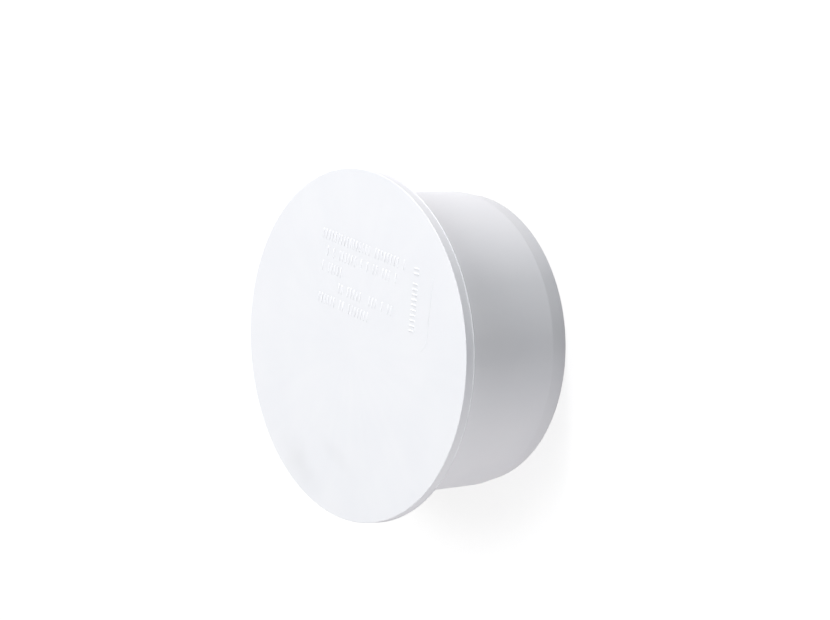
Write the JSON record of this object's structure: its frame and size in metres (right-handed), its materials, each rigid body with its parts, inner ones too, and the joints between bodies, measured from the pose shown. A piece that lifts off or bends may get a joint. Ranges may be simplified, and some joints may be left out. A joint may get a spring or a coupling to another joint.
{
  "type": "pipe end cap",
  "caption": "Push-in pipe end cap: a flat round flange closes one end of a short hollow spigot with a tapered lead-in, which plugs the socket of a drain pipe.",
  "frame": {"origin": "centre of the spigot's open end, on the plane that the cap stands on", "axes": "+Z along the cap's axis, from the open end to the closed face"},
  "size_m": [0.087, 0.087, 0.0376],
  "materials": {
    "white_plastic": "satin moulded white polypropylene"
  },
  "bodies": {
    "root": {"end_cap": "white_plastic"}
  },
  "joints": []
}
